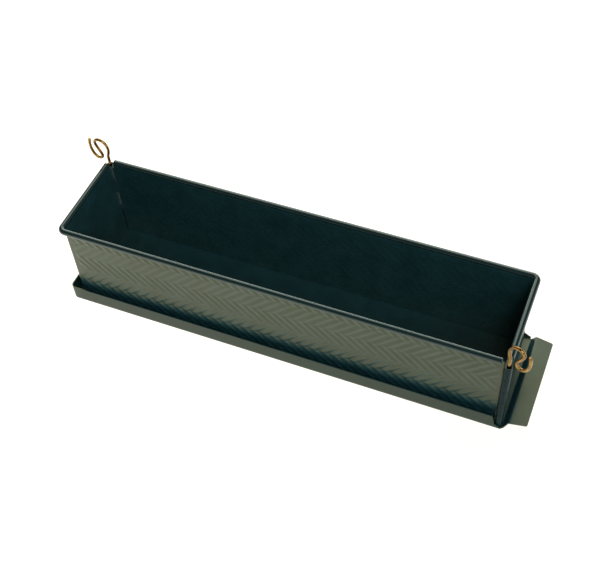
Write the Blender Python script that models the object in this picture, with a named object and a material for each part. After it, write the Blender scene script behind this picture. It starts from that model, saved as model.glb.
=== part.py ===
"""Collapsible long loaf mould: two L-shaped sheet halves, two pull-out pins, one shallow base tray.

Frame: metres, +Z up, z = 0 on the underside of the base tray. X runs along the mould, towards the pull tab.
Y runs across it. x = 0, y = 0 is the centre of the rim. Each half is the other one turned by 180 degrees.
"""
import math

import bmesh
import bpy

# ---- driving dimensions (metres) ----
RIM_LENGTH = 0.3500        # between the bead centre lines of the two ends
RIM_WIDTH = 0.0790         # between the bead centre lines of the two long sides
RIM_HEIGHT = 0.0782        # bead centre above the underside of the base
SHEET = 0.0008             # sheet thickness of walls and base
GAP = 0.0003               # air left between pieces that touch in life
BEAD_RADIUS = 0.0025       # outside radius of the rolled rim
BEAD_BEND = 0.0040         # bead centre-line radius at the plain bends
CURL_TURN = math.radians(298.0)   # how far the edge is rolled outward over the wire
CURL_STEPS = 20
BEND_STEPS = 5             # facets of a plain bend
RIM_END = 0.0049           # rim stops this far before a pin axis
WIRE_RADIUS = BEAD_RADIUS - SHEET - GAP
WIRE_SIDES = 16

BARREL_RADIUS = 0.0029     # outside radius of a hinge knuckle
BARREL_TOP = RIM_HEIGHT - 0.0032
BARREL_GAP = 0.0006        # between one knuckle and the next
KNUCKLES = 5
KNUCKLE_TURN = math.radians(308.0)  # how far a knuckle is rolled, short of its own wall
KNUCKLE_STEPS = 28
WALL_FOOT = SHEET + GAP    # lower edge of the walls
PANEL_END = 0.0005         # a wall stops this far from the wall it meets
LAP = 0.0010               # overlap of two solids that are joined into one piece

PIN_RADIUS = 0.00125
PIN_SIDES = 12
PIN_FOOT = 0.0020          # lower end of a pin above the table
FRONT_PIN_AZIMUTH = math.radians(-20.0)
REAR_PIN_AZIMUTH = math.radians(178.0)

LIP_HEIGHT = 0.0140        # base lips above the table
LIP_CLEAR = GAP            # lip inside face to the hinge knuckles
BASE_CORNER = 0.0040       # outside radius of the tray corners in plan
TRAY_CORNER_STEPS = 8
FLOOR_END = 0.1792         # the floor starts to rise here
TAB_START = 0.1826
TAB_END = 0.1960
TAB_RISE = 0.0064          # underside of the tab above the table
TAB_HALF = 0.0410          # half length of the tab's inner edge
TAB_TRIM = 0.0022          # the outer edge is shorter by this much at each end
LIP_END_TOP = 0.1710       # where the long lips stop, at the top
LIP_END_MID = (0.1730, 0.0045)
LIP_END_LOW = (0.1772, 0.0018)
LIP_END_FOOT = (0.1800, 0.0012)

MERGE_DISTANCE = 0.000002
SHARP_ANGLE = math.radians(35.0)   # edges sharper than this stay sharp when shaded

EMBOSS_DEPTH = 0.00045
EMBOSS_PITCH = 0.0082      # spacing of the chevron lines along the wall
EMBOSS_ROW = 0.0152        # height of a row, from one kink of the lines to the next
EMBOSS_LOW = 0.0061
EMBOSS_HIGH = 0.0735       # the top row is cut short here
EMBOSS_FADE = 0.0010       # width of the border where the relief dies out
EMBOSS_MARGIN = 0.0050     # plain strip before a corner or a knuckle

# ---- derived sizes ----
INNER_X = RIM_LENGTH / 2 - BEAD_RADIUS      # inside face of the end walls
INNER_Y = RIM_WIDTH / 2 - BEAD_RADIUS       # inside face of the long walls
AXIS_X = INNER_X + BARREL_RADIUS            # pin axis, front right; the rear left one is opposite
AXIS_Y = -(INNER_Y + BARREL_RADIUS)
LIP_IN_Y = INNER_Y + 2 * BARREL_RADIUS + LIP_CLEAR
LIP_OUT_Y = LIP_IN_Y + SHEET
LIP_IN_X = INNER_X + 2 * BARREL_RADIUS + LIP_CLEAR
LIP_OUT_X = LIP_IN_X + SHEET
WALL_BEND = BEAD_BEND - BEAD_RADIUS         # inside radius of the plain bend
RIM_NOTCH = RIM_END - BARREL_RADIUS - PANEL_END    # the rim stops this far before the end of its wall

COATED_STEEL = ("dark_coated_steel", (0.060, 0.066, 0.052, 1.0), 0.55, 0.42)
TRAY_STEEL = ("dark_coated_tray", (0.075, 0.082, 0.064, 1.0), 0.50, 0.45)
CORE_STEEL = ("bright_core_wire", (0.52, 0.53, 0.54, 1.0), 1.0, 0.35)
BRASS = ("drawn_brass", (0.72, 0.45, 0.17, 1.0), 1.0, 0.25)


def clear_scene():
    for obj in list(bpy.data.objects):
        bpy.data.objects.remove(obj, do_unlink=True)


def material(spec):
    name, colour, metallic, roughness = spec
    mat = bpy.data.materials.new(name)
    mat.use_nodes = True
    shader = mat.node_tree.nodes["Principled BSDF"]
    shader.inputs["Base Color"].default_value = colour
    shader.inputs["Metallic"].default_value = metallic
    shader.inputs["Roughness"].default_value = roughness
    return mat


def make_object(name, verts, faces):
    """Closed mesh with outward faces, linked to the scene."""
    mesh = bpy.data.meshes.new(name)
    mesh.from_pydata(verts, [], faces)
    bm = bmesh.new()
    bm.from_mesh(mesh)
    bmesh.ops.recalc_face_normals(bm, faces=bm.faces)
    bm.to_mesh(mesh)
    bm.free()
    mesh.update()
    obj = bpy.data.objects.new(name, mesh)
    bpy.context.scene.collection.objects.link(obj)
    return obj


def prism(name, outline, z0, z1):
    """Upright prism on a plan outline."""
    n = len(outline)
    verts = [(x, y, z0) for x, y in outline] + [(x, y, z1) for x, y in outline]
    faces = [list(range(n))[::-1], list(range(n, 2 * n))]
    faces += [(i, (i + 1) % n, n + (i + 1) % n, n + i) for i in range(n)]
    return make_object(name, verts, faces)


def sweep(name, rings):
    """Solid through a list of equal closed sections, capped at both ends."""
    n = len(rings[0])
    verts = [p for ring in rings for p in ring]
    faces = [list(range(n))[::-1], list(range(len(verts) - n, len(verts)))]
    for k in range(len(rings) - 1):
        a = k * n
        faces += [(a + i, a + (i + 1) % n, a + n + (i + 1) % n, a + n + i) for i in range(n)]
    return make_object(name, verts, faces)


def join_all(target, others, operation="UNION"):
    """Boolean the others into the target and remove them."""
    for other in others:
        mod = target.modifiers.new("join", "BOOLEAN")
        mod.operation = operation
        mod.solver = "EXACT"
        mod.object = other
        graph = bpy.context.evaluated_depsgraph_get()
        mesh = bpy.data.meshes.new_from_object(target.evaluated_get(graph))
        target.modifiers.clear()
        old = target.data
        target.data = mesh
        bpy.data.meshes.remove(old)
        bpy.data.objects.remove(other, do_unlink=True)
    return target


def arc(cx, cy, radius, a0, a1, steps):
    return [(cx + radius * math.cos(a0 + (a1 - a0) * i / steps),
             cy + radius * math.sin(a0 + (a1 - a0) * i / steps)) for i in range(steps + 1)]


# ---- wall sheet of one half, unrolled: s along the half, z up, d outward from the inside face ----
LONG_RUN = INNER_X - PANEL_END + INNER_X - WALL_BEND    # straight part of the long wall
BEND_RUN = WALL_BEND * math.pi / 2
SHORT_RUN = INNER_Y - PANEL_END + INNER_Y - WALL_BEND


def wall_point(s, z, d):
    """The half starts at the front right corner, bends at the front left, ends at the rear left.

    Above the bead centre the height is measured along the roll of the rim.
    """
    turn = max(0.0, z - RIM_HEIGHT) / BEAD_RADIUS
    if turn:
        d, z = (BEAD_RADIUS - (BEAD_RADIUS - d) * math.cos(turn),
                RIM_HEIGHT + (BEAD_RADIUS - d) * math.sin(turn))
    if s <= LONG_RUN:
        return (INNER_X - PANEL_END - s, -INNER_Y - d, z)
    if s <= LONG_RUN + BEND_RUN:
        bend = (s - LONG_RUN) / BEND_RUN * math.pi / 2
        radius = WALL_BEND + d
        return (-INNER_X + WALL_BEND - radius * math.sin(bend),
                -INNER_Y + WALL_BEND - radius * math.cos(bend), z)
    run = s - LONG_RUN - BEND_RUN
    return (-INNER_X - d, -INNER_Y + WALL_BEND + run, z)


class Sheet:
    """Flat pattern: shared points (s, z, relief) and faces."""

    def __init__(self):
        self.index = {}
        self.points = []
        self.faces = []

    def point(self, s, z, relief=0.0):
        key = (round(s * 1e7), round(z * 1e7))
        if key not in self.index:
            self.index[key] = len(self.points)
            self.points.append((s, z, relief))
        return self.index[key]

    def face(self, ids):
        clean = [a for i, a in enumerate(ids) if a != ids[i - 1]]
        if len(clean) > 2:
            self.faces.append(clean)


def clip_band(poly, limit, keep_above):
    """Cut a polygon of (s, z, relief) points at one s value."""
    out = []
    for i, p in enumerate(poly):
        q = poly[(i + 1) % len(poly)]
        p_in = p[0] >= limit - 1e-9 if keep_above else p[0] <= limit + 1e-9
        q_in = q[0] >= limit - 1e-9 if keep_above else q[0] <= limit + 1e-9
        if p_in:
            out.append(p)
        if p_in != q_in and abs(q[0] - p[0]) > 1e-9:
            t = (limit - p[0]) / (q[0] - p[0])
            if 1e-6 < t < 1 - 1e-6:
                out.append((limit, p[1] + t * (q[1] - p[1]), p[2] + t * (q[2] - p[2])))
    return out


def lean(z):
    """How far a 45 degree zigzag line has moved sideways at a height."""
    rows = (z - EMBOSS_LOW) / EMBOSS_ROW
    return EMBOSS_ROW * (1.0 - abs(rows % 2.0 - 1.0))


def embossed_panel(sheet, s_left, s_right, z_low, z_high):
    """Herringbone field: lines run up the wall in 45 degree zigzags. A plain border closes it."""
    left = s_left + EMBOSS_MARGIN
    right = s_right - EMBOSS_MARGIN
    rows = math.ceil((EMBOSS_HIGH - EMBOSS_LOW) / EMBOSS_ROW)
    levels = [EMBOSS_LOW + j * EMBOSS_ROW for j in range(rows)] + [EMBOSS_HIGH]
    half = EMBOSS_PITCH / 2
    first = -int(EMBOSS_ROW / half) - 2
    last = int((right - left) / half) + 2
    for z0, z1 in zip(levels, levels[1:]):
        lean0 = lean(z0)
        lean1 = lean(z1)
        for k in range(first, last):
            h0 = EMBOSS_DEPTH if k % 2 else 0.0
            h1 = 0.0 if k % 2 else EMBOSS_DEPTH
            a = left + k * half
            b = a + half
            poly = [(a + lean0, z0, h0), (b + lean0, z0, h1), (b + lean1, z1, h1), (a + lean1, z1, h0)]
            poly = clip_band(poly, left, True)
            poly = clip_band(poly, right, False) if len(poly) > 2 else []
            if len(poly) > 2:
                sheet.face([sheet.point(*p) for p in poly])
    border = {"low": [], "high": [], "left": [], "right": []}
    for s, z, _ in list(sheet.points):
        if s < left - 1e-7 or s > right + 1e-7:
            continue
        if abs(z - EMBOSS_LOW) < 1e-8:
            border["low"].append((s, z))
        if abs(z - EMBOSS_HIGH) < 1e-8:
            border["high"].append((s, z))
        if abs(s - left) < 1e-8:
            border["left"].append((s, z))
        if abs(s - right) < 1e-8:
            border["right"].append((s, z))
    rings = {}
    shifts = {"low": (0, -EMBOSS_FADE), "high": (0, EMBOSS_FADE), "left": (-EMBOSS_FADE, 0),
              "right": (EMBOSS_FADE, 0)}
    for side, pts in border.items():
        pts.sort(key=lambda p: p[side in ("left", "right")])
        ds, dz = shifts[side]
        near = [sheet.point(s, z) for s, z in pts]
        far = [sheet.point(s + ds, z + dz) for s, z in pts]
        for i in range(len(pts) - 1):
            sheet.face([near[i], near[i + 1], far[i + 1]])
            sheet.face([near[i], far[i + 1], far[i]])
        rings[side] = far
    frame = (left - EMBOSS_FADE, right + EMBOSS_FADE, EMBOSS_LOW - EMBOSS_FADE, EMBOSS_HIGH + EMBOSS_FADE)
    for s, s_far in ((left, frame[0]), (right, frame[1])):
        for z, z_far in ((EMBOSS_LOW, frame[2]), (EMBOSS_HIGH, frame[3])):
            a = sheet.point(s, z)
            b = sheet.point(s_far, z)
            c = sheet.point(s_far, z_far)
            d = sheet.point(s, z_far)
            sheet.face([a, b, c])
            sheet.face([a, c, d])
    corner = {}
    for i, s in enumerate(frame[:2]):
        for j, z in enumerate(frame[2:]):
            corner[i, j] = sheet.point(s, z)
    outer = {}
    for i, s in enumerate((s_left, s_right)):
        for j, z in enumerate((z_low, frame[2], frame[3], z_high)):
            outer[i, j] = sheet.point(s, z)
    sheet.face([outer[0, 0], outer[1, 0], outer[1, 1], corner[1, 0]] + rings["low"][::-1]
               + [corner[0, 0], outer[0, 1]])
    sheet.face([outer[0, 2], corner[0, 1]] + rings["high"] + [corner[1, 1], outer[1, 2], outer[1, 3],
                                                              outer[0, 3]])
    sheet.face([outer[0, 1], corner[0, 0]] + rings["left"] + [corner[0, 1], outer[0, 2]])
    sheet.face([corner[1, 0], outer[1, 1], outer[1, 2], corner[1, 1]] + rings["right"][::-1])
    return frame


def column(sheet, s0, s1, levels):
    for z0, z1 in zip(levels, levels[1:]):
        sheet.face([sheet.point(s0, z0), sheet.point(s1, z0), sheet.point(s1, z1), sheet.point(s0, z1)])


def wall_sheet(name):
    """Closed sheet of one half with its rolled rim, without knuckles."""
    sheet = Sheet()
    second = LONG_RUN + BEND_RUN
    end = second + SHORT_RUN
    frame = embossed_panel(sheet, RIM_NOTCH, LONG_RUN, WALL_FOOT, BARREL_TOP)
    embossed_panel(sheet, second, end - RIM_NOTCH, WALL_FOOT, BARREL_TOP)
    low_levels = (WALL_FOOT, frame[2], frame[3], BARREL_TOP)
    roll = BEAD_RADIUS * CURL_TURN
    rim_levels = [BARREL_TOP] + [RIM_HEIGHT + roll * i / CURL_STEPS for i in range(CURL_STEPS + 1)]
    column(sheet, 0.0, RIM_NOTCH, low_levels)
    column(sheet, RIM_NOTCH, LONG_RUN, rim_levels)
    for i in range(BEND_STEPS):
        s0 = LONG_RUN + BEND_RUN * i / BEND_STEPS
        s1 = LONG_RUN + BEND_RUN * (i + 1) / BEND_STEPS
        column(sheet, s0, s1, low_levels)
        column(sheet, s0, s1, rim_levels)
    column(sheet, second, end - RIM_NOTCH, rim_levels)
    column(sheet, end - RIM_NOTCH, end, low_levels)
    count = len(sheet.points)
    verts = [wall_point(s, z, relief) for s, z, relief in sheet.points]
    verts += [wall_point(s, z, SHEET + relief) for s, z, relief in sheet.points]
    faces = [list(f) for f in sheet.faces]
    faces += [[i + count for i in reversed(f)] for f in sheet.faces]
    used = {}
    for f in sheet.faces:
        for i, a in enumerate(f):
            edge = tuple(sorted((a, f[(i + 1) % len(f)])))
            used[edge] = used.get(edge, 0) + 1
    faces += [[b, a, a + count, b + count] for (a, b), times in used.items() if times == 1]
    return make_object(name, verts, faces)


def knuckle_span(number):
    """Height range of one knuckle; number 0 is the lowest."""
    pitch = (BARREL_TOP - WALL_FOOT) / KNUCKLES
    low = WALL_FOOT + number * pitch
    return low + (BARREL_GAP / 2 if number else 0.0), low + pitch - BARREL_GAP / 2


def hook(start, wall_in, centre):
    """Plan outline of a knuckle: a strip of wall that rolls outward round the pin."""
    u0, v0 = centre
    outer = arc(u0, v0, BARREL_RADIUS, math.pi / 2, math.pi / 2 - KNUCKLE_TURN, KNUCKLE_STEPS)
    inner = arc(u0, v0, BARREL_RADIUS - SHEET, math.pi / 2 - KNUCKLE_TURN, math.pi / 2, KNUCKLE_STEPS)
    return [(start, wall_in)] + outer + inner + [(start, wall_in - SHEET)]


def half_shell(name):
    """One L-shaped half in the front-left position."""
    shell = wall_sheet(name)
    knuckles = []
    for number in range(1, KNUCKLES, 2):
        z0, z1 = knuckle_span(number)
        pts = hook(INNER_X - PANEL_END - LAP, -INNER_Y, (AXIS_X, AXIS_Y))
        knuckles.append(prism("long_knuckle", pts, z0, z1))
    for number in range(0, KNUCKLES, 2):
        z0, z1 = knuckle_span(number)
        pts = hook(INNER_Y - PANEL_END - LAP, -INNER_X, (-AXIS_Y, -AXIS_X))
        knuckles.append(prism("end_knuckle", [(x, y) for y, x in pts], z0, z1))
    return join_all(shell, knuckles)


def rim_path():
    """Bead centre line of a half with its outward direction, from the front right to the rear left."""
    bx = RIM_LENGTH / 2
    by = RIM_WIDTH / 2
    path = [((AXIS_X - RIM_END, -by), (0.0, -1.0))]
    cx = -bx + BEAD_BEND
    cy = -by + BEAD_BEND
    for i in range(BEND_STEPS + 1):
        turn = math.pi / 2 * i / BEND_STEPS
        out = (-math.sin(turn), -math.cos(turn))
        path.append(((cx + BEAD_BEND * out[0], cy + BEAD_BEND * out[1]), out))
    path.append(((-bx, -AXIS_Y - RIM_END), (-1.0, 0.0)))
    return path


def along_rim(section):
    rings = []
    for (x, y), (ox, oy) in rim_path():
        rings.append([(x + u * ox, y + u * oy, RIM_HEIGHT + w) for u, w in section])
    return rings


def rim_wire(name):
    """Core wire inside the rolled rim."""
    section = arc(0.0, 0.0, WIRE_RADIUS, 0.0, 2 * math.pi, WIRE_SIDES)[:-1]
    return sweep(name, along_rim(section))


def turned_copy(obj, name):
    """The same piece turned by 180 degrees about the vertical centre line."""
    mesh = obj.data.copy()
    mesh.name = name
    for v in mesh.vertices:
        v.co.x = -v.co.x
        v.co.y = -v.co.y
    mesh.update()
    copy = bpy.data.objects.new(name, mesh)
    bpy.context.scene.collection.objects.link(copy)
    return copy


# head of a pin: sideways distance and height above the bead centre, along the wire
PIN_HEAD = ((0.0, 0.0060), (-0.0014, 0.0110), (-0.0013, 0.0158), (0.0010, 0.0198), (0.0048, 0.0214),
            (0.0084, 0.0203), (0.0098, 0.0170), (0.0084, 0.0125), (0.0063, 0.0082), (0.0053, 0.0047),
            (0.0067, 0.0020), (0.0098, 0.0015), (0.0128, 0.0040), (0.0146, 0.0090), (0.0150, 0.0145),
            (0.0142, 0.0200))


def smooth_line(points, steps):
    """Catmull-Rom curve through the points."""
    out = []
    last = len(points) - 1
    for i in range(last):
        p0 = points[max(i - 1, 0)]
        p1 = points[i]
        p2 = points[i + 1]
        p3 = points[min(i + 2, last)]
        for k in range(steps):
            t = k / steps
            out.append(tuple(0.5 * (2 * b + (c - a) * t + (2 * a - 5 * b + 4 * c - d) * t * t
                                    + (3 * b - a - 3 * c + d) * t ** 3)
                             for a, b, c, d in zip(p0, p1, p2, p3)))
    out.append(points[-1])
    return out


def pin(name, axis_x, axis_y, azimuth):
    """Straight leg with an S-curled head; the object's origin is on the pin axis at the rim."""
    line = [(0.0, PIN_FOOT - RIM_HEIGHT)] + smooth_line(PIN_HEAD, 4)
    ca = math.cos(azimuth)
    sa = math.sin(azimuth)
    rings = []
    for i, (s, z) in enumerate(line):
        before = line[max(i - 1, 0)]
        after = line[min(i + 1, len(line) - 1)]
        ds = after[0] - before[0]
        dz = after[1] - before[1]
        length = math.hypot(ds, dz)
        ns, nz = dz / length, -ds / length
        ring = []
        for k in range(PIN_SIDES):
            a = 2 * math.pi * k / PIN_SIDES
            u = PIN_RADIUS * math.cos(a)
            v = PIN_RADIUS * math.sin(a)
            side = s + u * ns
            ring.append((side * ca - v * sa, side * sa + v * ca, z + u * nz))
        rings.append(ring)
    obj = sweep(name, rings)
    obj.location = (axis_x, axis_y, RIM_HEIGHT)
    return obj


def tray_outline(offset):
    """Plan of the tray between its right ends, drawn in by an offset; corners at the left are round."""
    x = LIP_OUT_X - offset
    y = LIP_OUT_Y - offset
    radius = BASE_CORNER - offset
    front = arc(-x + radius, -y + radius, radius, 1.5 * math.pi, math.pi, TRAY_CORNER_STEPS)
    rear = arc(-x + radius, y - radius, radius, math.pi, math.pi / 2, TRAY_CORNER_STEPS)
    return front + rear


def base_tray(name):
    """Floor with front, left and rear lips; the right end bends up into a flat pull tab."""
    outer = tray_outline(0.0)
    inner = tray_outline(SHEET)
    half = LIP_OUT_Y
    tub = prism(name, [(FLOOR_END, -half)] + outer + [(FLOOR_END, half)], 0.0, LIP_HEIGHT)
    hollow = [(TAB_START, -LIP_IN_Y)] + inner + [(TAB_START, LIP_IN_Y)]
    join_all(tub, [prism("hollow", hollow, SHEET, 2 * LIP_HEIGHT)], "DIFFERENCE")
    trim = [(LIP_END_TOP, 2 * LIP_HEIGHT), (LIP_END_TOP, LIP_HEIGHT), LIP_END_MID, LIP_END_LOW,
            LIP_END_FOOT, (TAB_END, 2 * LIP_HEIGHT)]
    wide = 2 * half
    cutter = sweep("trim", [[(x, -wide, z) for x, z in trim], [(x, wide, z) for x, z in trim]])
    join_all(tub, [cutter], "DIFFERENCE")
    bend = math.atan2(TAB_RISE, TAB_START - FLOOR_END) / 2
    inset = SHEET * math.tan(bend)
    start = FLOOR_END - LAP
    profile = [(start, 0.0), (FLOOR_END, 0.0), (TAB_START, TAB_RISE), (TAB_END, TAB_RISE),
               (TAB_END, TAB_RISE + SHEET), (TAB_START - inset, TAB_RISE + SHEET),
               (FLOOR_END - inset, SHEET), (start, SHEET)]
    riser = sweep("riser", [[(x, -wide, z) for x, z in profile], [(x, wide, z) for x, z in profile]])
    plan = [(start - LAP, -half), (FLOOR_END, -half), (TAB_START, -TAB_HALF),
            (TAB_END, -TAB_HALF + TAB_TRIM), (TAB_END, TAB_HALF - TAB_TRIM), (TAB_START, TAB_HALF),
            (FLOOR_END, half), (start - LAP, half)]
    join_all(riser, [prism("tab_plan", plan, -LIP_HEIGHT, 2 * LIP_HEIGHT)], "INTERSECT")
    return join_all(tub, [riser])


def tidy(obj):
    """Merge coincident points and make the faces outward."""
    bm = bmesh.new()
    bm.from_mesh(obj.data)
    bmesh.ops.remove_doubles(bm, verts=bm.verts, dist=MERGE_DISTANCE)
    bmesh.ops.dissolve_degenerate(bm, edges=bm.edges, dist=MERGE_DISTANCE)
    loose = [e for e in bm.edges if not e.link_faces]
    bmesh.ops.delete(bm, geom=loose, context="EDGES")
    bmesh.ops.recalc_face_normals(bm, faces=bm.faces)
    bm.to_mesh(obj.data)
    bm.free()


def finish(obj, mat):
    tidy(obj)
    obj.data.shade_smooth()
    obj.data.set_sharp_from_angle(angle=SHARP_ANGLE)
    obj.data.materials.clear()
    obj.data.materials.append(mat)


def main():
    clear_scene()
    coated = material(COATED_STEEL)
    tray_metal = material(TRAY_STEEL)
    core = material(CORE_STEEL)
    brass = material(BRASS)
    finish(base_tray("base_tray"), tray_metal)
    front = half_shell("front_left_side")
    finish(front, coated)
    finish(turned_copy(front, "rear_right_side"), coated)
    wire = rim_wire("front_left_rim_wire")
    finish(wire, core)
    finish(turned_copy(wire, "rear_right_rim_wire"), core)
    finish(pin("front_right_pin", AXIS_X, AXIS_Y, FRONT_PIN_AZIMUTH), brass)
    finish(pin("rear_left_pin", -AXIS_X, -AXIS_Y, REAR_PIN_AZIMUTH), brass)


main()
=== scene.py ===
import math

import bmesh
import bpy
from mathutils import Matrix, Vector


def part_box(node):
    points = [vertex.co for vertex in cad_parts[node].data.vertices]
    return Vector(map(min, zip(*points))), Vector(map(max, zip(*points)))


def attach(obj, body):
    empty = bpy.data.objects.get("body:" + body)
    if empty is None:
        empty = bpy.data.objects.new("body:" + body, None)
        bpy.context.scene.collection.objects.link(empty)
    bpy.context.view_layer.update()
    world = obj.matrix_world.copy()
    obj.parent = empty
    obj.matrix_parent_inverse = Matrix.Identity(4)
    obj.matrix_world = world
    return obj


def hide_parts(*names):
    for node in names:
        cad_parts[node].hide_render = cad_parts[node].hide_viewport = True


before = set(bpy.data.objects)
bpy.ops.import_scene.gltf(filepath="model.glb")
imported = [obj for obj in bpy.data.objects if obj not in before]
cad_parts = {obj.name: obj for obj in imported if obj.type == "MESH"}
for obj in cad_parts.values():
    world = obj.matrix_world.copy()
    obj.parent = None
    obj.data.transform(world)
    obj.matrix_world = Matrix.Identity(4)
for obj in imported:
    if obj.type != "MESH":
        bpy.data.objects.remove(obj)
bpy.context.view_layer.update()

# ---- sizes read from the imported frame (metres) ----
WIRE_LOW, WIRE_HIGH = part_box("front_left_rim_wire")
TRAY_LOW, TRAY_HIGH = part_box("base_tray")
WIRE_RADIUS = (WIRE_HIGH.z - WIRE_LOW.z) / 2
RIM_HEIGHT = (WIRE_HIGH.z + WIRE_LOW.z) / 2
RIM_LENGTH = -2 * (WIRE_LOW.x + WIRE_RADIUS)
RIM_WIDTH = -2 * (WIRE_LOW.y + WIRE_RADIUS)
LIP_OUT_X = -TRAY_LOW.x
LIP_OUT_Y = TRAY_HIGH.y
LIP_HEIGHT = TRAY_HIGH.z
TAB_END = TRAY_HIGH.x

# ---- driving dimensions, the same as those of the CAD part ----
NECK = 0.0032              # from the top of the knuckles up to the middle of the rim
SHEET = 0.0008
GAP = 0.0003
BEAD_RADIUS = WIRE_RADIUS + SHEET + GAP
BEAD_BEND = 0.0040
CURL_TURN = math.radians(298.0)
RIM_END = 0.0049
BARREL_RADIUS = 0.0029
BARREL_TOP = RIM_HEIGHT - NECK
BARREL_GAP = 0.0006
KNUCKLES = 5
KNUCKLE_TURN = math.radians(308.0)
WALL_FOOT = SHEET + GAP
PANEL_END = 0.0005
PIN_RADIUS = 0.00125
PIN_FOOT = 0.0020
FRONT_PIN_AZIMUTH = math.radians(-20.0)
REAR_PIN_AZIMUTH = math.radians(178.0)
BASE_CORNER = 0.0040
FLOOR_END = 0.1792
TAB_START = 0.1826
TAB_RISE = 0.0064
TAB_HALF = 0.0410
TAB_TRIM = 0.0022
LIP_TRIM = ((0.1710, 0.0140), (0.1730, 0.0045), (0.1772, 0.0018), (0.1800, 0.0012))

INNER_X = RIM_LENGTH / 2 - BEAD_RADIUS
INNER_Y = RIM_WIDTH / 2 - BEAD_RADIUS
AXIS_X = INNER_X + BARREL_RADIUS
AXIS_Y = -(INNER_Y + BARREL_RADIUS)
WALL_BEND = BEAD_BEND - BEAD_RADIUS
RIM_NOTCH = RIM_END - BARREL_RADIUS - PANEL_END
LONG_RUN = 2 * INNER_X - PANEL_END - WALL_BEND
BEND_RUN = WALL_BEND * math.pi / 2
SECOND = LONG_RUN + BEND_RUN
SHORT_RUN = 2 * INNER_Y - PANEL_END - WALL_BEND
WALL_END = SECOND + SHORT_RUN

# ---- herringbone relief ----
RELIEF = 0.00050           # full height of a ridge
INSIDE_SHARE = 0.35        # the relief shows less on the inside
PITCH = 0.0082             # from ridge to ridge along the wall
ROW = 0.0152               # from kink to kink up the wall
FIRST_KINK = 0.0061
RIDGE_SHIFT = 0.0040
PLAIN_EDGE = 0.0015        # smooth strip of wall before a bend or a knuckle
GRID = ROW / 15            # the mesh step, so that ridges run along its diagonals
FADE_ALONG = 0.0040
FADE_UP = 0.0020
RELIEF_LOW = 0.0030
RELIEF_HIGH = BARREL_TOP + 0.0004

# ---- fine shape of edges and bends ----
EDGE_ROUND = 0.00016
TRAY_BEND = 0.0012         # outside radius where floor and lip meet
PAN_STRIP = 0.0028         # width of the outer strip of the floor, before the bend
FOLD = 0.0016              # middle radius of the two folds of the riser
TAB_CORNER = 0.0012
RISER = math.atan2(TAB_RISE, TAB_START - FLOOR_END)
PAN_END = FLOOR_END - FOLD * math.tan(RISER / 2)     # the fold starts here
LEVEL_MERGE = 0.00030      # grid levels closer than this to a fixed one are left out
EDGE_ANGLE = math.radians(50.0)      # edges sharper than this are rounded
PIN_CHAMFER = PIN_RADIUS * 0.22
PIN_TIP = ((0.0, 0.72), (0.4, 0.92), (1.0, 1.0))     # shares of the chamfer and of the wire's radius
PIN_SHARP = math.radians(40.0)

# ---- steps of the walls' and pins' meshes ----
CURL_STEPS = 26            # round the rolled rim
BEND_STEPS = 8             # round the plain bend
KNUCKLE_STEPS = 30
TANGENT_STEPS = 3          # from a wall's end to where its knuckles start to curl
NECK_STEPS = 4
FOOT_CELLS = 4             # grid cells below the first kink
PIN_SIDES = 20
LEG_STEPS = 24             # rings along a pin's straight leg
HEAD_STEPS = 9             # rings between two points of its head

# ---- steps of the tray's mesh ----
TRIM_STEPS = 22            # along a long lip where it is cut down
LIP_STEPS = 60             # along the rest of a long lip
CORNER_STEPS = 12          # round a corner of the pan
END_STEPS = 16             # along the left lip
PAN_BEND_STEPS = 6         # round the bend between floor and lip
RISE_STEPS = 6             # up the lip
ACROSS_STEPS = 24          # across the floor
TRIM_CLEAR = 0.004         # from the trimmed stretch to the next column of the lip
FOLD_STEPS = 7
TAB_STEPS = 8
TAB_CORNER_STEPS = 5

# ---- material places on a mesh: the flat walls, the floor and the tab have place 0 ----
RIM_PLACE = 1
KNUCKLE_PLACE = 2
LIP_PLACE = 1

# ---- surroundings ----
TABLE_HALF = 2.5
TABLE_DROP = 0.0002        # the table is this much under the tray
TABLE_LEFT = 1.20          # glow of the table at its left and at its right
TABLE_RIGHT = 0.85
GLOW_REACH = 0.25          # the glow changes within this distance from the middle
HORIZON = 1.0              # light of the room at the table's level and overhead
OVERHEAD = 0.12
FALL_START = 0.03          # Z of the direction where the room's light starts to fall
FALL_END = 0.28            # and where it has fallen to OVERHEAD
LIGHT_TARGET = (0.0, 0.0, 0.04)
CAMERA_PLACE = (0.2230, -0.4560, 0.6742)
CAMERA_PITCH = math.radians(51.28)
CAMERA_YAW = math.radians(25.22)
CAMERA_ROLL = math.radians(-4.04)
CAMERA_LENS = 62.70        # millimetres
CAMERA_SENSOR = 36.0       # width in millimetres


def link(obj):
    bpy.context.scene.collection.objects.link(obj)
    return obj


def mesh_object(name, verts, faces):
    """Smooth shaded mesh, whose faces point out where it is closed."""
    mesh = bpy.data.meshes.new(name)
    mesh.from_pydata(verts, [], faces)
    bm = bmesh.new()
    bm.from_mesh(mesh)
    bmesh.ops.recalc_face_normals(bm, faces=bm.faces)
    bm.to_mesh(mesh)
    bm.free()
    mesh.shade_smooth()
    return link(bpy.data.objects.new(name, mesh))


def soften(obj):
    """Rounds the sheet's cut edges and keeps the faces beside them flat."""
    mod = obj.modifiers.new("edge_round", "BEVEL")
    mod.width = EDGE_ROUND
    mod.segments = 2
    mod.limit_method = "ANGLE"
    mod.angle_limit = EDGE_ANGLE
    mod.harden_normals = True


def smooth_step(t):
    t = min(1.0, max(0.0, t))
    return t * t * (3.0 - 2.0 * t)


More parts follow.
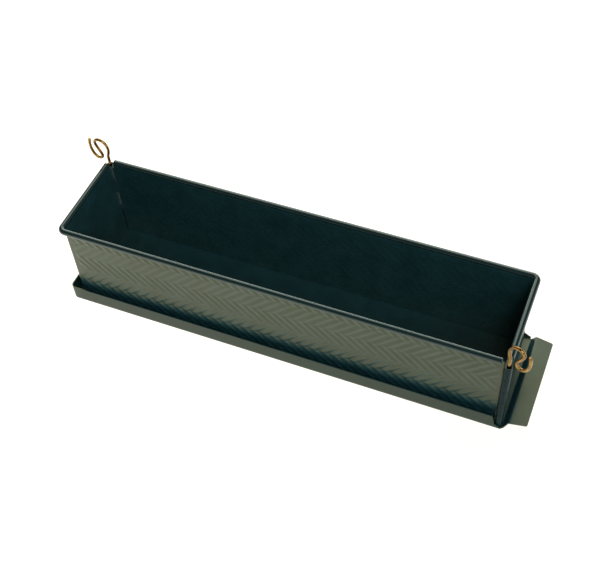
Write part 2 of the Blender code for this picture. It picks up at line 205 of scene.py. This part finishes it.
def shell(name, cells, one_side, other_side):
    """Solid sheet from the cells of its flat pattern and the places of their corners on both sides."""
    count = len(one_side)
    used = {}
    for cell in cells:
        for k in range(len(cell)):
            edge = tuple(sorted((cell[k - 1], cell[k])))
            used[edge] = used.get(edge, 0) + 1
    faces = [list(c) for c in cells] + [[a + count for a in reversed(c)] for c in cells]
    faces += [[b, a, a + count, b + count] for (a, b), times in used.items() if times == 1]
    return mesh_object(name, one_side + other_side, faces)


def paint(obj, places):
    """Gives each cell of a shell the material at its place in the list, on both sides of the sheet."""
    for number, place in enumerate(places):
        obj.data.polygons[number].material_index = place
        obj.data.polygons[number + len(places)].material_index = place


# ---- walls ----
def knuckle_span(number):
    """Lower and upper end of a knuckle; number 0 is the lowest."""
    pitch = (BARREL_TOP - WALL_FOOT) / KNUCKLES
    low = WALL_FOOT + number * pitch
    return low + (BARREL_GAP / 2 if number else 0.0), low + pitch - BARREL_GAP / 2


def relief(s, z):
    """Height of the herringbone at a place on the unrolled wall."""
    if s <= LONG_RUN:
        left, right = 0.0, LONG_RUN
    elif s >= SECOND:
        left, right = SECOND, WALL_END
    else:
        return 0.0
    fade = smooth_step((s - left - PLAIN_EDGE) / FADE_ALONG)
    fade *= smooth_step((right - PLAIN_EDGE - s) / FADE_ALONG)
    fade *= smooth_step((z - RELIEF_LOW) / FADE_UP) * smooth_step((RELIEF_HIGH - z) / FADE_UP)
    rows = (z - FIRST_KINK) / ROW
    lean = ROW * (1.0 - abs(rows % 2.0 - 1.0))
    return RELIEF * fade * (0.5 + 0.5 * math.cos(2 * math.pi * (s - lean - RIDGE_SHIFT) / PITCH))


def wall_point(s, z, d):
    """Place of a point of the unrolled sheet: s along the half, z up and round the rim, d outward."""
    turn = max(0.0, z - RIM_HEIGHT) / BEAD_RADIUS
    if turn:
        d, z = (BEAD_RADIUS - (BEAD_RADIUS - d) * math.cos(turn),
                RIM_HEIGHT + (BEAD_RADIUS - d) * math.sin(turn))
    long_tangent = -(PANEL_END + BARREL_RADIUS)
    end_tangent = WALL_END + PANEL_END + BARREL_RADIUS
    if s < long_tangent:
        angle = math.pi / 2 - (long_tangent - s) / BARREL_RADIUS
        radius = BARREL_RADIUS - d
        return (AXIS_X + radius * math.cos(angle), AXIS_Y + radius * math.sin(angle), z)
    if s <= LONG_RUN:
        return (INNER_X - PANEL_END - s, -INNER_Y - d, z)
    if s <= SECOND:
        bend = (s - LONG_RUN) / BEND_RUN * math.pi / 2
        radius = WALL_BEND + d
        return (-INNER_X + WALL_BEND - radius * math.sin(bend),
                -INNER_Y + WALL_BEND - radius * math.cos(bend), z)
    if s <= end_tangent:
        return (-INNER_X - d, -INNER_Y + WALL_BEND + s - SECOND, z)
    angle = (s - end_tangent) / BARREL_RADIUS
    radius = BARREL_RADIUS - d
    return (-AXIS_X + radius * math.cos(angle), -AXIS_Y + radius * math.sin(angle), z)


def spread(start, end, steps):
    """Evenly spaced numbers from start to end, both included."""
    return [start + (end - start) * i / steps for i in range(steps + 1)]


def levels(fixed, start, end):
    """Grid levels from start to end that keep clear of the fixed ones."""
    found = sorted(fixed)
    z = start
    while z < end:
        if min(abs(z - f) for f in fixed) > LEVEL_MERGE:
            found.append(z)
        z += GRID
    return sorted(found)


def wall_levels():
    """Grid lines of the flat pattern: places along the half, and heights up the wall and round the rim."""
    roll = BARREL_RADIUS * KNUCKLE_TURN
    tangent = PANEL_END + BARREL_RADIUS
    along = [-tangent - roll + roll * i / KNUCKLE_STEPS for i in range(KNUCKLE_STEPS)]
    along += spread(-tangent, 0.0, TANGENT_STEPS)[:-1]
    along += levels([0.0, RIM_NOTCH, LONG_RUN], RIM_NOTCH, LONG_RUN)
    along += spread(LONG_RUN, SECOND, BEND_STEPS)[1:-1]
    along += levels([SECOND, WALL_END - RIM_NOTCH, WALL_END], SECOND, WALL_END - RIM_NOTCH)
    along += spread(WALL_END, WALL_END + tangent, TANGENT_STEPS)[1:]
    along += spread(WALL_END + tangent, WALL_END + tangent + roll, KNUCKLE_STEPS)[1:]
    edges = sorted({round(z, 7) for n in range(KNUCKLES) for z in knuckle_span(n)} | {BARREL_TOP})
    up = levels(edges, FIRST_KINK - FOOT_CELLS * GRID, BARREL_TOP)
    up += spread(BARREL_TOP, RIM_HEIGHT, NECK_STEPS)[1:]
    up += spread(RIM_HEIGHT, RIM_HEIGHT + BEAD_RADIUS * CURL_TURN, CURL_STEPS)[1:]
    return along, up


def in_spans(z, numbers):
    """Whether the height lies within one of these knuckles."""
    return any(knuckle_span(n)[0] < z < knuckle_span(n)[1] for n in numbers)


def is_sheet(s, z):
    """Whether the flat pattern has metal here: the wall, its rim strip, or the tongue of a knuckle."""
    if z > BARREL_TOP:
        return RIM_NOTCH < s < WALL_END - RIM_NOTCH
    if s < 0:
        return in_spans(z, range(1, KNUCKLES, 2))
    if s > WALL_END:
        return in_spans(z, range(0, KNUCKLES, 2))
    return True


def wall_mesh(name):
    """One L-shaped half: a bent sheet with herringbone, rolled rim and rolled knuckles, all one piece."""
    along, up = wall_levels()
    index = {}
    inner = []
    outer = []

    def point(i, j):
        if (i, j) not in index:
            index[i, j] = len(inner)
            h = relief(along[i], up[j])
            inner.append(wall_point(along[i], up[j], h * INSIDE_SHARE))
            outer.append(wall_point(along[i], up[j], SHEET + h))
        return index[i, j]

    cells = []
    places = []
    for i in range(len(along) - 1):
        for j in range(len(up) - 1):
            s = (along[i] + along[i + 1]) / 2
            z = (up[j] + up[j + 1]) / 2
            if is_sheet(s, z):
                cells.append((point(i, j), point(i + 1, j), point(i + 1, j + 1), point(i, j + 1)))
                # the rim and the knuckles wear darker copies of the coating: painted shade
                if z > RIM_HEIGHT:
                    places.append(RIM_PLACE)
                else:
                    places.append(0 if 0.0 < s < WALL_END else KNUCKLE_PLACE)
    obj = shell(name, cells, inner, outer)
    paint(obj, places)
    return obj


def turned(obj, name):
    """The same piece turned by 180 degrees about the vertical centre line."""
    mesh = obj.data.copy()
    mesh.name = name
    mesh.transform(Matrix.Rotation(math.pi, 4, "Z"))
    return link(bpy.data.objects.new(name, mesh))


# ---- pins ----
# head of a pin: sideways distance and height above the bead centre, along the wire
PIN_HEAD = ((0.0, 0.0060), (-0.0014, 0.0110), (-0.0013, 0.0158), (0.0010, 0.0198), (0.0048, 0.0214),
            (0.0084, 0.0203), (0.0098, 0.0170), (0.0084, 0.0125), (0.0063, 0.0082), (0.0053, 0.0047),
            (0.0067, 0.0020), (0.0098, 0.0015), (0.0128, 0.0040), (0.0146, 0.0090), (0.0150, 0.0145),
            (0.0142, 0.0200))


def smooth_line(points, steps):
    """Catmull-Rom curve through the points."""
    out = []
    last = len(points) - 1
    for i in range(last):
        p0 = points[max(i - 1, 0)]
        p1 = points[i]
        p2 = points[i + 1]
        p3 = points[min(i + 2, last)]
        for k in range(steps):
            t = k / steps
            out.append(tuple(0.5 * (2 * b + (c - a) * t + (2 * a - 5 * b + 4 * c - d) * t * t
                                    + (3 * b - a - 3 * c + d) * t ** 3)
                             for a, b, c, d in zip(p0, p1, p2, p3)))
    out.append(points[-1])
    return out


def pin_mesh(name, axis_x, axis_y, azimuth):
    """Drawn wire with a straight leg, an S-curled head and two cropped ends with broken edges."""
    leg_length = RIM_HEIGHT - PIN_FOOT
    leg = [(0.0, PIN_FOOT - RIM_HEIGHT + leg_length * i / LEG_STEPS) for i in range(LEG_STEPS)]
    line = leg + [(0.0, 0.0)] + smooth_line(PIN_HEAD, HEAD_STEPS)
    ca = math.cos(azimuth)
    sa = math.sin(azimuth)
    rings = []
    last = len(line) - 1
    for i, (s, z) in enumerate(line):
        before = line[max(i - 1, 0)]
        after = line[min(i + 1, last)]
        ds = after[0] - before[0]
        dz = after[1] - before[1]
        length = math.hypot(ds, dz)
        ds, dz = ds / length, dz / length
        sizes = [(0.0, 1.0)]
        if i == 0:
            sizes = [(PIN_CHAMFER * share, size) for share, size in PIN_TIP]
        if i == last:
            sizes = [(-PIN_CHAMFER * share, size) for share, size in reversed(PIN_TIP)]
        for shift, size in sizes:
            ring = []
            for k in range(PIN_SIDES):
                a = 2 * math.pi * k / PIN_SIDES
                u = PIN_RADIUS * size * math.cos(a)
                v = PIN_RADIUS * size * math.sin(a)
                side = s + shift * ds + u * dz
                ring.append((axis_x + side * ca - v * sa, axis_y + side * sa + v * ca,
                             RIM_HEIGHT + z + shift * dz - u * ds))
            rings.append(ring)
    n = PIN_SIDES
    verts = [p for ring in rings for p in ring]
    faces = [list(range(n))[::-1], list(range(len(verts) - n, len(verts)))]
    for k in range(len(rings) - 1):
        a = k * n
        faces += [(a + i, a + (i + 1) % n, a + n + (i + 1) % n, a + n + i) for i in range(n)]
    obj = mesh_object(name, verts, faces)
    obj.data.set_sharp_from_angle(angle=PIN_SHARP)
    return obj


# ---- tray ----
def lip_cap(x):
    """Height of the long lips at x: full height, then cut down in a short curve at the right end."""
    for (x0, z0), (x1, z1) in zip(LIP_TRIM, LIP_TRIM[1:]):
        if x0 < x <= x1:
            return z0 + (z1 - z0) * (x - x0) / (x1 - x0)
    return LIP_HEIGHT


def tray_columns():
    """Plan outline of the pan from its front right end round the left to the rear right end.

    Each entry is a point of the outline, the direction out of the pan and the lip height.
    """
    r = BASE_CORNER
    trim = LIP_TRIM[0][0]
    run = spread(PAN_END, trim, TRIM_STEPS) + spread(trim - TRIM_CLEAR, -LIP_OUT_X + r, LIP_STEPS)
    front = [((x, -LIP_OUT_Y), (0.0, -1.0), lip_cap(x)) for x in run]
    for i in range(1, CORNER_STEPS):
        a = 1.5 * math.pi - math.pi / 2 * i / CORNER_STEPS
        out = (math.cos(a), math.sin(a))
        front.append(((-LIP_OUT_X + r + r * out[0], -LIP_OUT_Y + r + r * out[1]), out, LIP_HEIGHT))
    side = spread(-LIP_OUT_Y + r, LIP_OUT_Y - r, END_STEPS)
    left = [((-LIP_OUT_X, y), (-1.0, 0.0), LIP_HEIGHT) for y in side]
    rear = [((x, -y), (ox, -oy), cap) for (x, y), (ox, oy), cap in reversed(front)]
    return front + left + rear


def lip_profile(cap):
    """From the floor strip round the bend and up the lip: (distance in, height) outside and inside."""
    inner = TRAY_BEND - SHEET
    points = [((PAN_STRIP, 0.0), (PAN_STRIP, SHEET))]
    for a in spread(0.0, math.pi / 2, PAN_BEND_STEPS):
        points.append(((TRAY_BEND - TRAY_BEND * math.sin(a), TRAY_BEND - TRAY_BEND * math.cos(a)),
                       (TRAY_BEND - inner * math.sin(a), TRAY_BEND - inner * math.cos(a))))
    for z in spread(TRAY_BEND, cap, RISE_STEPS)[1:]:
        points.append(((0.0, z), (SHEET, z)))
    return points


def tab_half(x):
    """Half width of the riser and tab at x, with rounded outer corners."""
    if x < TAB_START:
        t = (x - PAN_END) / (TAB_START - PAN_END)
        return LIP_OUT_Y - TRAY_BEND + (TAB_HALF - LIP_OUT_Y + TRAY_BEND) * t
    half = TAB_HALF - TAB_TRIM * (x - TAB_START) / (TAB_END - TAB_START)
    past = max(0.0, x - (TAB_END - TAB_CORNER))
    return half - TAB_CORNER + math.sqrt(max(0.0, TAB_CORNER ** 2 - past ** 2))


def tab_stations():
    """Sheet past the pan, up the riser and along the tab: its middle line (x, z) with its slope."""
    out = []
    for i in range(FOLD_STEPS + 1):
        a = RISER * i / FOLD_STEPS
        out.append((PAN_END + FOLD * math.sin(a), SHEET / 2 + FOLD * (1 - math.cos(a)), a))
    start = TAB_START + FOLD * math.tan(RISER / 2)
    for i in range(FOLD_STEPS + 1):
        a = RISER * (FOLD_STEPS - i) / FOLD_STEPS
        out.append((start - FOLD * math.sin(a), TAB_RISE + SHEET / 2 - FOLD * (1 - math.cos(a)), a))
    for x in spread(start, TAB_END - TAB_CORNER, TAB_STEPS)[1:]:
        out.append((x, TAB_RISE + SHEET / 2, 0.0))
    for i in range(1, TAB_CORNER_STEPS + 1):
        x = TAB_END - TAB_CORNER + TAB_CORNER * math.sin(math.pi / 2 * i / TAB_CORNER_STEPS)
        out.append((x, TAB_RISE + SHEET / 2, 0.0))
    return out


def tray_mesh(name):
    """Pan pressed from one sheet: bent lips on three sides, and the fourth side folded up into the tab."""
    outer = []
    inner = []
    cells = []

    def add(low, high):
        outer.append(low)
        inner.append(high)
        return len(outer) - 1

    ring = []
    for (x, y), (ox, oy), cap in tray_columns():
        ring.append([add((x - ox * d0, y - oy * d0, z0), (x - ox * d1, y - oy * d1, z1))
                     for (d0, z0), (d1, z1) in lip_profile(cap)])
    for a, b in zip(ring, ring[1:]):
        cells += [(a[k], b[k], b[k + 1], a[k + 1]) for k in range(len(a) - 1)]
    # the lips wear a darker copy of the tray's coating: painted shade
    places = [LIP_PLACE] * len(cells)
    wide = LIP_OUT_Y - TRAY_BEND
    strip = LIP_OUT_Y - PAN_STRIP
    middle = spread(-strip, strip, ACROSS_STEPS)[1:-1]
    row = [add((PAN_END, y, 0.0), (PAN_END, y, SHEET)) for y in middle]
    cells.append([column[0] for column in ring] + row[::-1])
    row = [ring[0][1], ring[0][0]] + row + [ring[-1][0], ring[-1][1]]
    shares = [y / wide for y in [-wide, -strip] + middle + [strip, wide]]
    for x, z, slope in tab_stations()[1:]:
        dx = math.sin(slope) * SHEET / 2
        dz = math.cos(slope) * SHEET / 2
        half = tab_half(x)
        following = [add((x + dx, v * half, z - dz), (x - dx, v * half, z + dz)) for v in shares]
        cells += [(row[i], row[i + 1], following[i + 1], following[i]) for i in range(len(row) - 1)]
        row = following
    obj = shell(name, cells, outer, inner)
    paint(obj, places + [0] * (len(cells) - len(places)))
    return obj


# ---- materials ----
class Nodes:
    """Short calls that add and join shader nodes."""

    def __init__(self, name):
        self.mat = bpy.data.materials.new(name)
        self.mat.use_nodes = True
        self.tree = self.mat.node_tree
        self.shader = self.tree.nodes["Principled BSDF"]
        self.place = self.tree.nodes.new("ShaderNodeTexCoord").outputs["Object"]

    def join(self, a, b):
        self.tree.links.new(a, b)

    def noise(self, scale, detail=4.0, rough=0.55, stretch=None):
        node = self.tree.nodes.new("ShaderNodeTexNoise")
        node.inputs["Scale"].default_value = scale
        node.inputs["Detail"].default_value = detail
        node.inputs["Roughness"].default_value = rough
        source = self.place
        if stretch:
            mapping = self.tree.nodes.new("ShaderNodeMapping")
            mapping.inputs["Scale"].default_value = stretch
            self.join(source, mapping.inputs["Vector"])
            source = mapping.outputs["Vector"]
        self.join(source, node.inputs["Vector"])
        return node.outputs["Fac"]

    def ramp(self, fac, stops):
        node = self.tree.nodes.new("ShaderNodeValToRGB")
        elements = node.color_ramp.elements
        while len(elements) < len(stops):
            elements.new(0.5)
        for element, (where, colour) in zip(elements, stops):
            element.position = where
            element.color = (*colour, 1.0)
        self.join(fac, node.inputs["Fac"])
        return node.outputs["Color"]

    def span(self, fac, low, high, source=(0.3, 0.7)):
        node = self.tree.nodes.new("ShaderNodeMapRange")
        node.inputs["From Min"].default_value = source[0]
        node.inputs["From Max"].default_value = source[1]
        node.inputs["To Min"].default_value = low
        node.inputs["To Max"].default_value = high
        self.join(fac, node.inputs["Value"])
        return node.outputs["Result"]

    def bump(self, height, strength, distance):
        node = self.tree.nodes.new("ShaderNodeBump")
        node.inputs["Strength"].default_value = strength
        node.inputs["Distance"].default_value = distance
        self.join(height, node.inputs["Height"])
        return node.outputs["Normal"]


def coated_steel(name, dark, light, tint, gloss, rough=0.29):
    """Dark baked-on coating on sheet steel: deep teal body under a satin sheen that drifts in patches."""
    drift = 0.012
    n = Nodes(name)
    colour = n.ramp(n.noise(55.0, 6.0, 0.65), ((0.35, dark), (0.65, light)))
    n.join(colour, n.shader.inputs["Base Color"])
    n.join(n.span(n.noise(90.0, 3.0, 0.5), rough - drift, rough + drift), n.shader.inputs["Roughness"])
    n.join(n.bump(n.noise(600.0, 1.0, 0.5), 0.25, 0.00002), n.shader.inputs["Normal"])
    n.shader.inputs["IOR"].default_value = gloss
    n.shader.inputs["Specular Tint"].default_value = (*tint, 1.0)
    return n.mat


def brass():
    """Drawn brass wire, bright in some places and browner in drifting patches."""
    n = Nodes("drawn_brass_wire")
    patch = n.noise(160.0, 4.0, 0.6)
    brown, mid, bright = (0.13, 0.07, 0.02), (0.28, 0.16, 0.045), (0.42, 0.27, 0.085)
    colour = n.ramp(patch, ((0.32, brown), (0.50, mid), (0.68, bright)))
    n.join(colour, n.shader.inputs["Base Color"])
    n.join(n.span(n.noise(300.0, 5.0, 0.7), 0.12, 0.22), n.shader.inputs["Roughness"])
    n.join(n.bump(n.noise(900.0, 2.0, 0.5), 0.10, 0.00005), n.shader.inputs["Normal"])
    n.shader.inputs["Metallic"].default_value = 1.0
    return n.mat


def core_wire():
    """Zinc-grey drawn steel with faint marks that are drawn out along X."""
    n = Nodes("core_wire_steel")
    marks = n.noise(240.0, 4.0, 0.6, stretch=(0.15, 1.0, 1.0))
    colour = n.ramp(marks, ((0.35, (0.30, 0.31, 0.31)), (0.65, (0.55, 0.56, 0.56))))
    n.join(colour, n.shader.inputs["Base Color"])
    n.join(n.span(marks, 0.28, 0.46), n.shader.inputs["Roughness"])
    n.shader.inputs["Metallic"].default_value = 1.0
    return n.mat


def floor_material():
    """Light table: it glows by itself, brighter to the left, so hardly any shadow shows on it."""
    n = Nodes("pale_table")
    colour = n.ramp(n.noise(3.0, 3.0, 0.5), ((0.3, (0.34, 0.34, 0.34)), (0.7, (0.36, 0.36, 0.36))))
    n.join(colour, n.shader.inputs["Base Color"])
    n.join(n.span(n.noise(20.0), 0.60, 0.75), n.shader.inputs["Roughness"])
    split = n.tree.nodes.new("ShaderNodeSeparateXYZ")
    n.join(n.place, split.inputs["Vector"])
    glow = n.span(split.outputs["X"], TABLE_LEFT, TABLE_RIGHT, source=(-GLOW_REACH, GLOW_REACH))
    n.join(glow, n.shader.inputs["Emission Strength"])
    n.shader.inputs["Emission Color"].default_value = (1.0, 0.97, 0.88, 1.0)
    return n.mat


def wear(obj, *mats):
    """Adds the materials at the object's next free places."""
    for mat in mats:
        obj.data.materials.append(mat)


# ---- stage, lights and camera ----
def make_stage():
    """The table and the room round it."""
    half = TABLE_HALF
    corners = [(-half, -half), (half, -half), (half, half), (-half, half)]
    floor = mesh_object("pale_floor", [(x, y, -TABLE_DROP) for x, y in corners], [(0, 1, 2, 3)])
    wear(floor, floor_material())
    bpy.context.scene.world = studio_world()


def studio_world():
    """White walls of the room low down, falling off to a dim ceiling."""
    world = bpy.data.worlds.new("studio")
    world.use_nodes = True
    tree = world.node_tree
    direction = tree.nodes.new("ShaderNodeTexCoord").outputs["Generated"]
    split = tree.nodes.new("ShaderNodeSeparateXYZ")
    tree.links.new(direction, split.inputs["Vector"])
    fall = tree.nodes.new("ShaderNodeMapRange")
    fall.interpolation_type = "SMOOTHSTEP"
    fall.inputs["From Min"].default_value = FALL_START
    fall.inputs["From Max"].default_value = FALL_END
    fall.inputs["To Min"].default_value = HORIZON
    fall.inputs["To Max"].default_value = OVERHEAD
    tree.links.new(split.outputs["Z"], fall.inputs["Value"])
    back = tree.nodes["Background"]
    back.inputs["Color"].default_value = (0.97, 0.99, 1.0, 1.0)
    tree.links.new(fall.outputs["Result"], back.inputs["Strength"])
    return world


def area_light(name, place, width, depth, energy):
    """Soft light that faces the object."""
    data = bpy.data.lights.new(name, "AREA")
    data.shape = "RECTANGLE"
    data.size = width
    data.size_y = depth
    data.energy = energy
    lamp = link(bpy.data.objects.new(name, data))
    lamp.location = place
    lamp.rotation_euler = (Vector(LIGHT_TARGET) - Vector(place)).to_track_quat("-Z", "Y").to_euler()


def make_lights():
    """Key light from the front right, a fill from the right, and a strip and a softbox behind."""
    area_light("key_softbox", (0.60, -1.05, 1.50), 0.56, 0.56, 12.0)
    area_light("right_softbox", (1.30, -0.40, 1.20), 0.80, 0.80, 6.0)
    area_light("rear_strip", (-0.30, 1.60, 0.75), 2.40, 0.25, 14.0)
    area_light("rear_left_softbox", (-0.54, 1.14, 1.60), 1.70, 1.70, 20.0)


def make_camera():
    """Looks down at the object from the front right."""
    level = math.cos(CAMERA_PITCH)
    forward = Vector((-math.sin(CAMERA_YAW) * level, math.cos(CAMERA_YAW) * level, -math.sin(CAMERA_PITCH)))
    right = Vector((math.cos(CAMERA_YAW), math.sin(CAMERA_YAW), 0.0))
    up = right.cross(forward)
    side = math.cos(CAMERA_ROLL) * right + math.sin(CAMERA_ROLL) * up
    top = -math.sin(CAMERA_ROLL) * right + math.cos(CAMERA_ROLL) * up
    data = bpy.data.cameras.new("camera")
    data.sensor_fit = "HORIZONTAL"
    data.sensor_width = CAMERA_SENSOR
    data.lens = CAMERA_LENS
    camera = link(bpy.data.objects.new("camera", data))
    turn = Matrix((side, top, -forward)).transposed().to_4x4()
    camera.matrix_world = Matrix.Translation(CAMERA_PLACE) @ turn
    bpy.context.scene.camera = camera


# ---- assembly ----
make_camera()
make_stage()
make_lights()
bpy.context.scene.view_settings.view_transform = "Standard"

wall_mat = coated_steel("wall_coating", (0.008, 0.038, 0.046), (0.013, 0.054, 0.064),
                        (1.0, 0.77, 0.05), 1.57, 0.34)
# Darker, smoother copy of the wall's coating for the rolled rim: its darker body is painted shade
rim_shade_mat = coated_steel("rim_coating_painted_shade", (0.003, 0.014, 0.015), (0.005, 0.018, 0.020),
                       (0.84, 1.0, 0.84), 1.62, 0.13)
# Darker, duller copy of the wall's coating for the knuckles: painted shade on the barrels
knuckle_shade_mat = coated_steel("knuckle_coating_painted_shade", (0.003, 0.016, 0.017), (0.005, 0.021, 0.022),
                           (0.80, 1.0, 0.88), 1.14)
tray_mat = coated_steel("tray_coating", (0.007, 0.033, 0.040), (0.011, 0.046, 0.055),
                        (1.0, 0.95, 0.45), 1.62)
# Darker, duller copy of the tray's coating for the lips: painted shade on the lips
lip_shade_mat = coated_steel("lip_coating_painted_shade", (0.006, 0.025, 0.028), (0.009, 0.031, 0.034),
                       (1.0, 0.92, 0.17), 1.36)
brass_mat = brass()
wire_mat = core_wire()

front_wall = wall_mesh("front_left_wall")
soften(front_wall)
wear(front_wall, wall_mat, rim_shade_mat, knuckle_shade_mat)
rear_wall = turned(front_wall, "rear_right_wall")
soften(rear_wall)
for piece, node in ((front_wall, "front_left_side"), (rear_wall, "rear_right_side")):
    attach(piece, "side_frame")
    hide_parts(node)

for name, node, body, x, y, azimuth in (
        ("front_right_wire_pin", "front_right_pin", "front_pin", AXIS_X, AXIS_Y, FRONT_PIN_AZIMUTH),
        ("rear_left_wire_pin", "rear_left_pin", "rear_pin", -AXIS_X, -AXIS_Y, REAR_PIN_AZIMUTH)):
    piece = pin_mesh(name, x, y, azimuth)
    wear(piece, brass_mat)
    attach(piece, body)
    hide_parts(node)

for node in ("front_left_rim_wire", "rear_right_rim_wire"):
    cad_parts[node].data.materials.clear()
    wear(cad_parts[node], wire_mat)

tray = tray_mesh("tray_pan")
soften(tray)
wear(tray, tray_mat, lip_shade_mat)
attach(tray, "tray")
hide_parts("base_tray")
